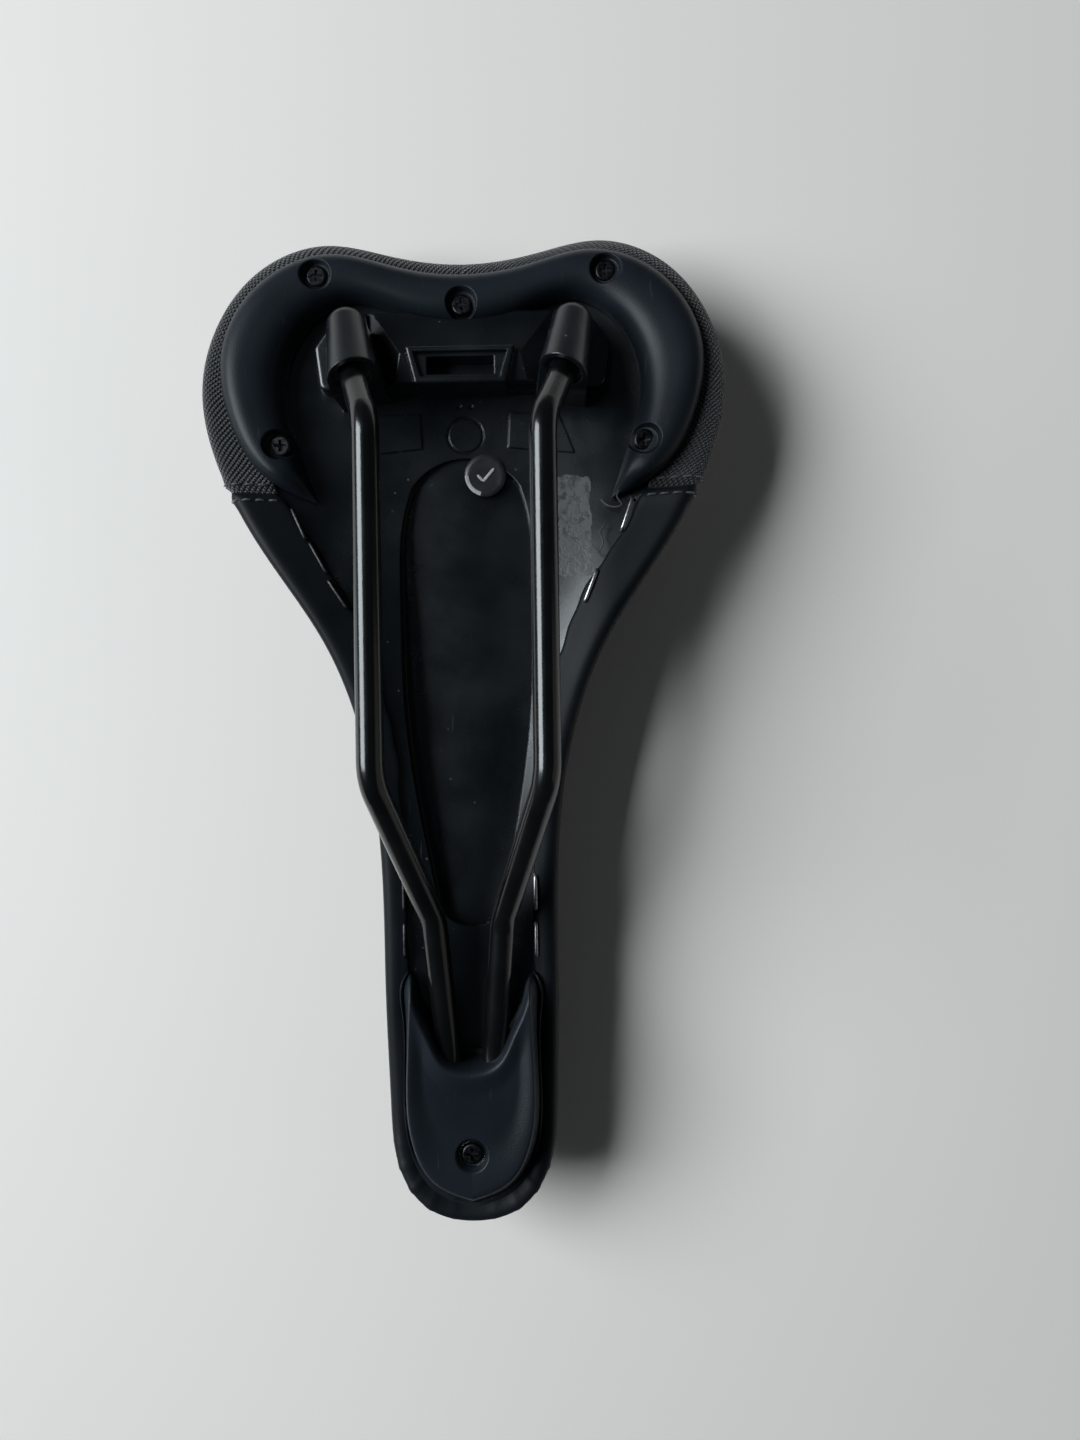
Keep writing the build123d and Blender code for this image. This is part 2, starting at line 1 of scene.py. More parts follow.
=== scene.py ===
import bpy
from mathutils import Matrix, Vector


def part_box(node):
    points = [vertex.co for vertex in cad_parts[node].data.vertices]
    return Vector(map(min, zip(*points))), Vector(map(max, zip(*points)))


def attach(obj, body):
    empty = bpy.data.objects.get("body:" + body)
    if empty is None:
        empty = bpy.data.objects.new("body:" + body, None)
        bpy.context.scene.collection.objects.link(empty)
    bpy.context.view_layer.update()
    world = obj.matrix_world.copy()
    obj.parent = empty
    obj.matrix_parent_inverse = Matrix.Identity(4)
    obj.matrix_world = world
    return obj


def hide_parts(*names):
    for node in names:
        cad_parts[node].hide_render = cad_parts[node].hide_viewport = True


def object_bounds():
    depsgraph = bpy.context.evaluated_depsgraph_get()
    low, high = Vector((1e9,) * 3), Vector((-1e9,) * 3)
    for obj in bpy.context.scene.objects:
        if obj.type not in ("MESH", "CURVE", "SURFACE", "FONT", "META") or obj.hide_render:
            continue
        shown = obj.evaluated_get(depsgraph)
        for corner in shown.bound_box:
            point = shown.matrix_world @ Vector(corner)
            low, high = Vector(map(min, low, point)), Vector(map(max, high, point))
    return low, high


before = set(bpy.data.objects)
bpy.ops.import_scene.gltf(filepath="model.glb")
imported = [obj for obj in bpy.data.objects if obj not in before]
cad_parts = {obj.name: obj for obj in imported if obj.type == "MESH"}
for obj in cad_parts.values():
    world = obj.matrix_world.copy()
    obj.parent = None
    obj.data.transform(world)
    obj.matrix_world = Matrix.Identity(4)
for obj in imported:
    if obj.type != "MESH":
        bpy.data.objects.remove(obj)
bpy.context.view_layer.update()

import math

import bmesh
import bpy
import numpy as np
from mathutils import Matrix, Vector
from mathutils.bvhtree import BVHTree

MM = 0.001

# ---------------------------------------------------------------- measures of the saddle, in millimetres
OUTLINE = ((0, 96.5), (20, 99), (38, 102), (55, 95.5), (67.5, 79), (71.5, 60), (66.7, 38), (53.6, 13.5),
           (38.4, -10), (28.4, -38), (24.4, -70), (24, -107), (23.3, -138), (21.2, -154), (13, -165.2),
           (0, -168.8))
# station: y, half width, base edge, base crown, cover edge, cover crown
STATIONS = np.array((
    (120, 82, 30, 36, 41, 50),
    (90, 82, 27, 34.5, 41, 55.5),
    (60, 80, 24, 34.5, 38, 55),
    (30, 70, 21, 33.5, 34, 52),
    (2, 52, 19.5, 32, 31, 49),
    (-28, 37, 21, 31, 31, 47.5),
    (-62, 30, 24.5, 31, 33, 47.5),
    (-110, 28, 27.5, 33, 36, 49.5),
    (-150, 28, 29, 33.8, 38, 49),
    (-182, 28, 25, 29, 35, 43),
), float)
FLAP_WIDTHS = ((-167, 9.5), (-150, 7.6), (-110, 6.9), (-72, 7), (-40, 8.4), (-12, 10.5), (22, 12.6),
               (60, 11.6), (80, 12), (103, 11))
FLAP_DROP = 1.6
SEAM_Y = 31.0
SPINE = (-141.0, 52.0)
GUARD_RISE = 7.0
REAR_SCREWS = ((0, 82.2), (39.3, 90), (-39.3, 90), (49, 43.2), (-49, 43.2))
NOSE_SCREW = (0, -148.5)
EDGE_ROUNDING = 4.0
SHOULDER = 15.0
CHANNEL_DEPTH = 2.6
CHANNEL_SPREAD = 8.5
PANEL_WALL = 1.1
NOSE_CREST = 21.4
ROOT_LIFT = 0.6
STITCH_LENGTH = 2.7
STITCH_PITCH = 3.5
STITCH_RADIUS = 0.27
STITCH_OFFSET = 2.2
THREAD_END_RADIUS = 0.2
STAPLE_RADIUS = 0.52
BOARD_REACH = 12000
BOARD_GAP = 0.3

# ---------------------------------------------------------------- cloth pressure on the cover
PRESSURE = 4
PRESSURE_FRAMES = 20
PRESSURE_CAP = 0.0012
HELD_HEIGHT = 4.5
HELD_SEAM = 3.0


# ---------------------------------------------------------------- curves and heights
def natural(knots, values):
    """A function that runs a natural cubic spline through values at knots."""
    knots = np.array(knots, float)
    values = np.array(values, float)
    step = np.diff(knots)
    count = len(knots)
    system = np.eye(count)
    right = np.zeros_like(values)
    for i in range(1, count - 1):
        system[i, i - 1] = step[i - 1]
        system[i, i] = 2 * (step[i - 1] + step[i])
        system[i, i + 1] = step[i]
        right[i] = 6 * ((values[i + 1] - values[i]) / step[i] - (values[i] - values[i - 1]) / step[i - 1])
    bend = np.linalg.solve(system, right)

    def at(place):
        place = np.asarray(place, float)
        k = np.clip(np.searchsorted(knots, place, side="right") - 1, 0, count - 2)
        width = step[k]
        a = (knots[k + 1] - place) / width
        b = 1 - a
        if values.ndim > 1:
            a, b, width = a[..., None], b[..., None], width[..., None]
        curved = ((a**3 - a) * bend[k] + (b**3 - b) * bend[k + 1]) * width**2 / 6
        return a * values[k] + b * values[k + 1] + curved

    return at


def evenly(line, count, closed=False):
    """count points spaced evenly along a fine polyline."""
    if closed:
        line = np.vstack((line, line[:1]))
    along = np.concatenate(([0], np.cumsum(np.linalg.norm(np.diff(line, axis=0), axis=1))))
    places = np.linspace(0, along[-1], count, endpoint=not closed)
    return np.column_stack([np.interp(places, along, line[:, k]) for k in range(line.shape[1])])


def smooth_line(points, count):
    """count evenly spaced points on a natural spline through the points."""
    points = np.array(points, float)
    chord = np.concatenate(([0], np.cumsum(np.linalg.norm(np.diff(points, axis=0), axis=1))))
    fine = natural(chord, points)(np.linspace(0, chord[-1], 2000))
    return evenly(fine, count)


def smooth_ring(points, count):
    """count evenly spaced points on a closed spline through the points."""
    points = [tuple(p) for p in points]
    lap = points[-4:] + points + points[:4]
    lap = np.array(lap, float)
    chord = np.concatenate(([0], np.cumsum(np.linalg.norm(np.diff(lap, axis=0), axis=1))))
    fine = natural(chord, lap)(np.linspace(chord[4], chord[4 + len(points)], 4000))
    return evenly(fine[:-1], count, closed=True)


def arc_through(a, b, c, count):
    """count points on the circle arc from a through b to c."""
    a, b, c = (np.array(p, float) for p in (a, b, c))
    d = 2 * (a[0] * (b[1] - c[1]) + b[0] * (c[1] - a[1]) + c[0] * (a[1] - b[1]))
    ux = ((a @ a) * (b[1] - c[1]) + (b @ b) * (c[1] - a[1]) + (c @ c) * (a[1] - b[1])) / d
    uy = ((a @ a) * (c[0] - b[0]) + (b @ b) * (a[0] - c[0]) + (c @ c) * (b[0] - a[0])) / d
    centre = np.array((ux, uy))
    angles = [math.atan2(*(p - centre)[::-1]) for p in (a, b, c)]
    first, middle, last = angles
    while middle - first > math.pi:
        middle -= 2 * math.pi
    while middle - first < -math.pi:
        middle += 2 * math.pi
    while last - middle > math.pi:
        last -= 2 * math.pi
    while last - middle < -math.pi:
        last += 2 * math.pi
    turn = np.linspace(first, last, count)
    radius = np.linalg.norm(a - centre)
    return centre + radius * np.column_stack((np.cos(turn), np.sin(turn)))


station_at = natural(STATIONS[::-1, 0], STATIONS[::-1, 1:])
flap_width_at = natural([p[0] for p in FLAP_WIDTHS], [p[1] for p in FLAP_WIDTHS])


def arc_height(x, half, edge, crown):
    """Height at x of the arc from (-half, edge) over (0, crown) to (half, edge)."""
    rise = crown - edge
    radius = (half * half + rise * rise) / (2 * rise)
    return crown - radius + np.sqrt(np.maximum(radius * radius - x * x, 0))


def base_under(x, y):
    """Height of the base's lower face."""
    s = station_at(y)
    return arc_height(np.asarray(x, float), s[..., 0], s[..., 1], s[..., 2])


def cover_top(x, y):
    """Height of the cover's rider side, with a shallow relief channel along the middle."""
    s = station_at(y)
    x = np.asarray(x, float)
    y = np.asarray(y, float)
    channel = CHANNEL_DEPTH * np.exp(-(x / CHANNEL_SPREAD) ** 2) * smooth_step(-112, -78, y)
    channel = channel * (1 - smooth_step(38, 70, y))
    return arc_height(x, s[..., 0], s[..., 3], s[..., 4]) - channel


def smooth_step(low, high, value):
    t = np.clip((np.asarray(value, float) - low) / (high - low), 0, 1)
    return t * t * (3 - 2 * t)


# ---------------------------------------------------------------- meshes
def make_mesh(name, points, faces):
    """A smooth mesh object from millimetre points."""
    mesh = bpy.data.meshes.new(name)
    mesh.from_pydata([tuple(c * MM for c in p) for p in points], [], faces)
    mesh.polygons.foreach_set("use_smooth", [True] * len(mesh.polygons))
    mesh.update()
    made = bpy.data.objects.new(name, mesh)
    bpy.context.scene.collection.objects.link(made)
    return made


def grid_faces(rows, columns, close_rows=False, close_columns=False, flip=False):
    """Quads of a grid of rows x columns points."""
    faces = []
    for i in range(rows if close_rows else rows - 1):
        for j in range(columns if close_columns else columns - 1):
            a = i * columns + j
            b = i * columns + (j + 1) % columns
            c = ((i + 1) % rows) * columns + (j + 1) % columns
            d = ((i + 1) % rows) * columns + j
            faces.append((d, c, b, a) if flip else (a, b, c, d))
    return faces


def edit(piece, change):
    """Runs change(bm) on the piece's mesh."""
    bm = bmesh.new()
    bm.from_mesh(piece.data)
    change(bm)
    bm.to_mesh(piece.data)
    bm.free()
    piece.data.polygons.foreach_set("use_smooth", [True] * len(piece.data.polygons))
    piece.data.update()


def apply_modifiers(piece):
    """Puts the modified mesh in the place of the piece's own."""
    bpy.context.view_layer.update()
    shown = piece.evaluated_get(bpy.context.evaluated_depsgraph_get())
    mesh = bpy.data.meshes.new_from_object(shown)
    piece.modifiers.clear()
    piece.data = mesh
    mesh.polygons.foreach_set("use_smooth", [True] * len(mesh.polygons))


def tree_of(piece):
    bm = bmesh.new()
    bm.from_mesh(piece.data)
    tree = BVHTree.FromBMesh(bm)
    bm.free()
    return tree


def height_below(tree, x, y):
    """The lowest surface met by a line going up at (x, y), in millimetres, with its normal."""
    hit = tree.ray_cast(Vector((x * MM, y * MM, -0.1)), Vector((0, 0, 1)))
    if hit[0] is None:
        return None, None
    return hit[0].z / MM, hit[1]


# ---------------------------------------------------------------- material nodes
def add(tree, kind, settings=None, inputs=None):
    made = tree.nodes.new("ShaderNode" + kind)
    for key, value in (settings or {}).items():
        setattr(made, key, value)
    for key, value in (inputs or {}).items():
        socket = made.inputs[key]
        if isinstance(value, bpy.types.NodeSocket):
            tree.links.new(value, socket)
        else:
            socket.default_value = value
    return made


def math_node(tree, operation, first, second=None, clamp=False):
    made = add(tree, "Math", {"operation": operation, "use_clamp": clamp}, {0: first})
    if second is not None:
        if isinstance(second, bpy.types.NodeSocket):
            tree.links.new(second, made.inputs[1])
        else:
            made.inputs[1].default_value = second
    return made.outputs[0]


def ramp(tree, factor, stops):
    """A colour ramp: stops are (position, grey or colour)."""
    made = add(tree, "ValToRGB", None, {"Fac": factor})
    points = made.color_ramp.elements
    while len(points) < len(stops):
        points.new(1.0)
    for point, (place, colour) in zip(points, stops):
        point.position = place
        point.color = (colour, colour, colour, 1) if isinstance(colour, (int, float)) else (*colour, 1)
    return made.outputs["Color"]


def mix_colour(tree, factor, first, second):
    made = tree.nodes.new("ShaderNodeMix")
    made.data_type = "RGBA"
    for index, value in ((0, factor), (6, first), (7, second)):
        socket = made.inputs[index]
        if isinstance(value, bpy.types.NodeSocket):
            tree.links.new(value, socket)
        elif index == 0:
            socket.default_value = value
        else:
            socket.default_value = (*value, 1)
    return made.outputs[2]


def noise(tree, place, scale, detail=3.0, rough=0.5):
    return add(tree, "TexNoise", None,
               {"Vector": place, "Scale": scale, "Detail": detail, "Roughness": rough}).outputs["Fac"]


def new_material(name):
    made = bpy.data.materials.new(name)
    made.use_nodes = True
    tree = made.node_tree
    shader = next(n for n in tree.nodes if n.type == "BSDF_PRINCIPLED")
    place = tree.nodes.new("ShaderNodeTexCoord").outputs["Object"]
    return made, tree, shader, place


def bump(tree, height, strength, distance, normal=None):
    inputs = {"Height": height, "Strength": strength, "Distance": distance}
    if normal is not None:
        inputs["Normal"] = normal
    return add(tree, "Bump", None, inputs).outputs["Normal"]


def base_material():
    """Glossy black moulding with handling marks, dust and an old label's rough patch."""
    made, tree, shader, place = new_material("base_plastic")
    soft_edge = add(tree, "Bevel", {"samples": 4}, {"Radius": 0.0006}).outputs["Normal"]
    cloud = noise(tree, place, 55, 4)
    grain = noise(tree, place, 2600, 2)
    spots = add(tree, "TexVoronoi", {"feature": "F1"}, {"Vector": place, "Scale": 260}).outputs["Distance"]
    speck = ramp(tree, spots, ((0.0, 1.0), (0.055, 1.0), (0.09, 0.0)))
    where = ramp(tree, noise(tree, place, 38, 2), ((0.0, 0.0), (0.5, 0.0), (0.68, 1.0)))
    dust = math_node(tree, "MULTIPLY", speck, where)
    stretched = add(tree, "Mapping", None, {"Vector": place, "Rotation": (0, 0, 0.5), "Scale": (900, 60, 60)})
    lines = ramp(tree, noise(tree, stretched.outputs[0], 1.0, 2), ((0.0, 0.0), (0.69, 0.0), (0.75, 1.0)))
    scratch = math_node(tree, "MULTIPLY", lines, where)
    axes = add(tree, "SeparateXYZ", None, {0: place})
    # the patch where a label was pulled off: x -34 to -26 mm, y 8 to 36 mm
    across = math_node(tree, "ABSOLUTE", math_node(tree, "ADD", axes.outputs[0], 0.0300))
    along = math_node(tree, "ABSOLUTE", math_node(tree, "SUBTRACT", axes.outputs[1], 0.0218))
    ragged = noise(tree, place, 300, 3)
    side = math_node(tree, "ADD", math_node(tree, "MULTIPLY", ragged, 0.0022), 0.0035)
    in_x = math_node(tree, "LESS_THAN", across, side)
    end = math_node(tree, "ADD", math_node(tree, "MULTIPLY", ragged, 0.003), 0.0123)
    in_y = math_node(tree, "LESS_THAN", along, end)
    patch = math_node(tree, "MULTIPLY", in_x, in_y)
    torn = ramp(tree, noise(tree, place, 420, 5, 0.7), ((0.0, 0.0), (0.42, 0.15), (0.6, 1.0)))
    residue = math_node(tree, "MULTIPLY", patch, torn)
    plain = ramp(tree, cloud, ((0.3, (0.002, 0.0034, 0.0048)), (0.7, (0.0036, 0.0056, 0.0076))))
    dusty = mix_colour(tree, math_node(tree, "MULTIPLY", dust, 0.5), plain, (0.25, 0.23, 0.2))
    worn = mix_colour(tree, math_node(tree, "MULTIPLY", scratch, 0.16), dusty, (0.2, 0.19, 0.18))
    marked = mix_colour(tree, math_node(tree, "MULTIPLY", residue, 0.6), worn, (0.12, 0.12, 0.12))
    tree.links.new(marked, shader.inputs["Base Color"])
    shine = ramp(tree, cloud, ((0.25, 0.2), (0.75, 0.36)))
    rougher = mix_colour(tree, residue, shine, (0.75, 0.75, 0.75))
    tree.links.new(rougher, shader.inputs["Roughness"])
    shader.inputs["Specular IOR Level"].default_value = 0.75
    relief = bump(tree, grain, 0.1, 0.0001, soft_edge)
    tree.links.new(bump(tree, residue, 0.5, 0.0001, relief), shader.inputs["Normal"])
    return made


def guard_material():
    """Satin black moulding with a fine even grain, a little rubbed on its crest."""
    made, tree, shader, place = new_material("guard_plastic")
    cloud = noise(tree, place, 40, 4)
    grain = noise(tree, place, 3200, 2)
    scuffs = ramp(tree, noise(tree, add(tree, "Mapping", None,
                  {"Vector": place, "Rotation": (0, 0, -0.6), "Scale": (700, 90, 90)}).outputs[0], 1.0, 3),
                  ((0.0, 0.0), (0.66, 0.0), (0.74, 1.0)))
    plain = ramp(tree, cloud, ((0.3, (0.0078, 0.0108, 0.0145)), (0.7, (0.0115, 0.0155, 0.0205))))
    tree.links.new(mix_colour(tree, math_node(tree, "MULTIPLY", scuffs, 0.06), plain, (0.2, 0.2, 0.2)),
                   shader.inputs["Base Color"])
    tree.links.new(ramp(tree, cloud, ((0.2, 0.34), (0.8, 0.44))), shader.inputs["Roughness"])
    shader.inputs["Specular IOR Level"].default_value = 0.2
    tree.links.new(bump(tree, grain, 0.22, 0.00025), shader.inputs["Normal"])
    return made


def leather_material():
    """Black synthetic leather with a fine pebble grain."""
    made, tree, shader, place = new_material("smooth_cover")
    cells = add(tree, "TexVoronoi", {"feature": "DISTANCE_TO_EDGE"}, {"Vector": place, "Scale": 1500})
    pebble = ramp(tree, cells.outputs["Distance"], ((0.0, 0.0), (0.18, 0.8), (0.5, 1.0)))
    cloud = noise(tree, place, 60, 4)
    fine = noise(tree, place, 2400, 3)
    tree.links.new(ramp(tree, cloud, ((0.3, (0.0048, 0.0064, 0.0084)), (0.7, (0.0072, 0.0096, 0.0122)))),
                   shader.inputs["Base Color"])
    tree.links.new(ramp(tree, cloud, ((0.2, 0.42), (0.8, 0.54))), shader.inputs["Roughness"])
    shader.inputs["Specular IOR Level"].default_value = 0.16
    under = bump(tree, fine, 0.12, 0.0001)
    tree.links.new(bump(tree, pebble, 0.14, 0.0001, under), shader.inputs["Normal"])
    return made


def woven_material():
    """Coarse black ribbed textile: threads over and under, on the cover's own length and width, its colour
    painted darker in the hollows between threads (painted shade) and lighter on their tops.
    """
    made, tree, shader, place = new_material("woven_cover")
    flat = tree.nodes.new("ShaderNodeTexCoord").outputs["UV"]
    axes = add(tree, "SeparateXYZ", None, {0: flat})
    pitch = 2.9 * MM
    turn = 2 * math.pi / pitch
    u = math_node(tree, "MULTIPLY", math_node(tree, "ADD", axes.outputs[0], axes.outputs[1]), turn)
    v = math_node(tree, "MULTIPLY", math_node(tree, "SUBTRACT", axes.outputs[0], axes.outputs[1]), turn)
    both = math_node(tree, "MULTIPLY", math_node(tree, "SINE", u), math_node(tree, "SINE", v))
    strand = math_node(tree, "ABSOLUTE", both)
    knit = math_node(tree, "POWER", strand, 0.55)
    fuzz = noise(tree, place, 5200, 3)
    cloud = noise(tree, place, 70, 3)
    # painted shade: near black in the hollows between threads, lighter on the thread tops, following the
    # weave height used for the bump
    weave_painted_shade = ramp(tree, knit, ((0.0, (0.0012, 0.0015, 0.0018)), (0.5, (0.006, 0.007, 0.0082)),
                             (1.0, (0.05, 0.054, 0.058))))
    faded = mix_colour(tree, math_node(tree, "MULTIPLY", cloud, 0.4), weave_painted_shade, (0.007, 0.008, 0.009))
    tree.links.new(faded, shader.inputs["Base Color"])
    shader.inputs["Roughness"].default_value = 0.5
    shader.inputs["Sheen Weight"].default_value = 0.25
    shader.inputs["Sheen Roughness"].default_value = 0.4
    rough = bump(tree, fuzz, 0.3, 0.0002)
    tree.links.new(bump(tree, knit, 1.0, 0.0007, rough), shader.inputs["Normal"])
    return made


def rail_material():
    """Gloss black powder coat, slightly uneven, with a few rubbed flecks."""
    made, tree, shader, place = new_material("rail_steel")
    peel = noise(tree, place, 620, 2)
    cloud = noise(tree, place, 90, 3)
    chips = ramp(tree, noise(tree, place, 900, 3, 0.65), ((0.0, 0.0), (0.76, 0.0), (0.8, 1.0)))
    plain = ramp(tree, cloud, ((0.3, (0.002, 0.0024, 0.0026)), (0.7, (0.0035, 0.004, 0.0042))))
    tree.links.new(mix_colour(tree, math_node(tree, "MULTIPLY", chips, 0.2), plain, (0.16, 0.15, 0.14)),
                   shader.inputs["Base Color"])
    tree.links.new(ramp(tree, cloud, ((0.2, 0.16), (0.8, 0.26))), shader.inputs["Roughness"])
    shader.inputs["Coat Weight"].default_value = 0.3
    shader.inputs["Coat Roughness"].default_value = 0.12
    tree.links.new(bump(tree, peel, 0.1, 0.0003), shader.inputs["Normal"])
    return made


def metal_material(name, dark, light, rough):
    """Plated steel with a mottled finish."""
    made, tree, shader, place = new_material(name)
    cloud = noise(tree, place, 900, 4)
    fine = noise(tree, place, 4000, 2)
    tree.links.new(ramp(tree, cloud, ((0.35, dark), (0.65, light))), shader.inputs["Base Color"])
    shader.inputs["Metallic"].default_value = 1.0
    tree.links.new(ramp(tree, fine, ((0.2, rough - 0.08), (0.8, rough + 0.1))), shader.inputs["Roughness"])
    tree.links.new(bump(tree, fine, 0.15, 0.0001), shader.inputs["Normal"])
    return made


def film_material(name, colour, rough):
    """Printed plastic film with faint creases."""
    made, tree, shader, place = new_material(name)
    cloud = noise(tree, place, 400, 4)
    darker = tuple(c * 0.7 for c in colour)
    tree.links.new(ramp(tree, cloud, ((0.3, darker), (0.7, colour))), shader.inputs["Base Color"])
    tree.links.new(ramp(tree, cloud, ((0.2, rough - 0.1), (0.8, rough + 0.1))), shader.inputs["Roughness"])
    tree.links.new(bump(tree, cloud, 0.25, 0.0002), shader.inputs["Normal"])
    return made


def thread_material():
    """Twisted dark sewing thread."""
    made, tree, shader, place = new_material("sewing_thread")
    twist = noise(tree, place, 3000, 2)
    tree.links.new(ramp(tree, twist, ((0.3, (0.02, 0.02, 0.022)), (0.7, (0.08, 0.08, 0.085)))),
                   shader.inputs["Base Color"])
    shader.inputs["Roughness"].default_value = 0.55
    shader.inputs["Sheen Weight"].default_value = 0.3
    tree.links.new(bump(tree, twist, 0.6, 0.0002), shader.inputs["Normal"])
    return made


def foam_material():
    """Open-cell foam, with painted shade in its pores."""
    made, tree, shader, place = new_material("foam")
    cells = add(tree, "TexVoronoi", {"feature": "F1"}, {"Vector": place, "Scale": 1400}).outputs["Distance"]
    # painted shade: each cell is darker at its middle, where the bump dips into a pore
    tree.links.new(ramp(tree, cells, ((0.0, (0.02, 0.02, 0.022)), (0.6, (0.05, 0.05, 0.055)))),
                   shader.inputs["Base Color"])
    shader.inputs["Roughness"].default_value = 0.95
    tree.links.new(bump(tree, cells, 0.6, 0.0004), shader.inputs["Normal"])
    return made


BASE = base_material()
GUARD = guard_material()
LEATHER = leather_material()
WOVEN = woven_material()
RAIL = rail_material()
SCREW = metal_material("screw_steel", (0.012, 0.012, 0.013), (0.05, 0.05, 0.052), 0.38)
STAPLE = metal_material("staple_steel", (0.45, 0.45, 0.46), (0.72, 0.72, 0.73), 0.3)
# painted shade: a darker copy of the staple steel, given to the staples on the +X side
STAPLE_STEEL_SHADED = metal_material("staple_steel_painted_shade", (0.025, 0.025, 0.026), (0.07, 0.07, 0.072), 0.45)
FILM = film_material("sticker_film", (0.035, 0.036, 0.04), 0.35)
PRINT = film_material("sticker_print", (0.62, 0.62, 0.6), 0.5)
THREAD = thread_material()
FOAM = foam_material()


def paint(piece, made):
    piece.data.materials.clear()
    piece.data.materials.append(made)


def carry(node, made):
    """Gives a CAD node its detailed material."""
    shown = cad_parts[node]
    for slot in shown.material_slots:
        slot.link = "OBJECT"
        slot.material = made


# ---------------------------------------------------------------- cover
def cover_grid(count):
    """Points and flat coordinates of the whole cover, as rows round the outline."""
    right = [(float(x), float(y)) for x, y in OUTLINE]
    left = [(-x, y) for x, y in right[1:-1]][::-1]
    rim = smooth_ring(right + left, count)
    after = np.roll(rim, -1, axis=0) - np.roll(rim, 1, axis=0)
    along = after / np.linalg.norm(after, axis=1)[:, None]
    inward = np.column_stack((along[:, 1], -along[:, 0]))
    middle = np.array((0.0, -30.0))
    if np.sum((middle - rim) * inward) < 0:
        inward = -inward
    spine = np.column_stack((np.zeros(count), np.clip(rim[:, 1], *SPINE)))
    reach = np.linalg.norm(spine - rim, axis=1)
    heading = (spine - rim) / reach[:, None]
    slant = np.sum(heading * inward, axis=1)
    arc = np.concatenate(([0], np.cumsum(np.linalg.norm(np.diff(rim, axis=0), axis=1))))

    wave = 0.35 * np.sin(arc / 5.3) + 0.25 * np.sin(arc / 2.1 + 1.3)
    flap = flap_width_at(rim[:, 1]) + wave
    lower = 4.2 * (1 - smooth_step(-168, -142, rim[:, 1]))

    def at(inset):
        """Plan position at an inset measured square to the outline."""
        return rim + heading * (inset / slant)[:, None]

    columns = []

    def put(plan, height):
        columns.append(np.column_stack((plan, height)))

    for share, drop in ((1.0, 0.15), (1.0, 1.15), (0.955, FLAP_DROP), (0.8, FLAP_DROP), (0.62, FLAP_DROP)):
        plan = at(flap * share)
        put(plan, base_under(*plan.T) - drop - lower * (1 - share))
    for turn in np.linspace(0, math.pi / 2, 6):
        inset = EDGE_ROUNDING * (1 - math.sin(turn))
        plan = at(np.full(count, inset))
        lift = EDGE_ROUNDING * (1 - math.cos(turn))
        put(plan, base_under(*plan.T) - FLAP_DROP - lower * (0.55 + 0.45 * turn) + lift)
    side = columns[-1][:, 2]
    for turn in np.linspace(0, math.pi / 2, 11)[1:]:
        inset = SHOULDER * (1 - math.cos(turn))
        plan = at(np.full(count, inset))
        put(plan, side + (cover_top(*plan.T) - side) * math.sin(turn))
    start = columns[-1][:, :2]
    for share in np.linspace(0, 1, 15)[1:]:
        plan = start + (spine - start) * share
        put(plan, cover_top(*plan.T))
    points = np.stack(columns, axis=1)
    run = np.concatenate((np.zeros((count, 1)),
                          np.cumsum(np.linalg.norm(np.diff(points, axis=1), axis=2), axis=1)), axis=1)
    flat = np.stack((np.repeat(arc[:, None], points.shape[1], axis=1), run), axis=2) * MM
    return points, flat


def make_cover():
    count = 300
    points, flat = cover_grid(count)
    columns = points.shape[1]
    cover = make_mesh("cover_whole", points.reshape(-1, 3), grid_faces(count, columns, close_rows=True))
    layer = cover.data.uv_layers.new(name="UVMap")
    flat = flat.reshape(-1, 2)
    lap = flat[:, 0].max() + 1.5 * MM
    for face in cover.data.polygons:
        rows = [v // columns for v in face.vertices]
        wraps = 0 in rows and count - 1 in rows
        for loop in face.loop_indices:
            vertex = cover.data.loops[loop].vertex_index
            u, v = flat[vertex]
            if wraps and vertex // columns == 0:
                u = lap
            layer.data[loop].uv = (u, v)
    edit(cover, lambda bm: (bmesh.ops.remove_doubles(bm, verts=bm.verts, dist=0.00005),
                            bmesh.ops.recalc_face_normals(bm, faces=bm.faces)))
    return cover


def puff(cover):
    """Presses the cover outwards with cloth pressure, with its flap and seam held, and caps the movement."""
    held = cover.vertex_groups.new(name="held")
    for vertex in cover.data.vertices:
        x, y, z = (c / MM for c in vertex.co)
        low = z < base_under(x, y) + HELD_HEIGHT
        seam = abs(y - SEAM_Y) < HELD_SEAM
        held.add([vertex.index], 1.0 if low or seam else 0.0, "REPLACE")
    before = np.array([v.co[:] for v in cover.data.vertices])
    cloth = cover.modifiers.new("pressure", "CLOTH")
    cloth.settings.use_pressure = True
    cloth.settings.uniform_pressure_force = PRESSURE
    cloth.settings.vertex_group_mass = "held"
    cloth.settings.tension_stiffness = 20
    cloth.settings.compression_stiffness = 20
    cloth.settings.bending_stiffness = 2
    cloth.settings.effector_weights.gravity = 0
    scene = bpy.context.scene
    scene.frame_start = 1
    scene.frame_end = PRESSURE_FRAMES
    for step in range(1, PRESSURE_FRAMES + 1):
        scene.frame_set(step)
    shown = cover.evaluated_get(bpy.context.evaluated_depsgraph_get())
    after = np.array([v.co[:] for v in shown.data.vertices])
    cover.modifiers.clear()
    move = after - before
    size = np.linalg.norm(move, axis=1)
    scale = np.where(size > PRESSURE_CAP, PRESSURE_CAP / np.maximum(size, 1e-9), 1.0)
    result = before + move * scale[:, None]
    cover.data.vertices.foreach_set("co", result.ravel())
    cover.data.update()
    scene.frame_set(1)


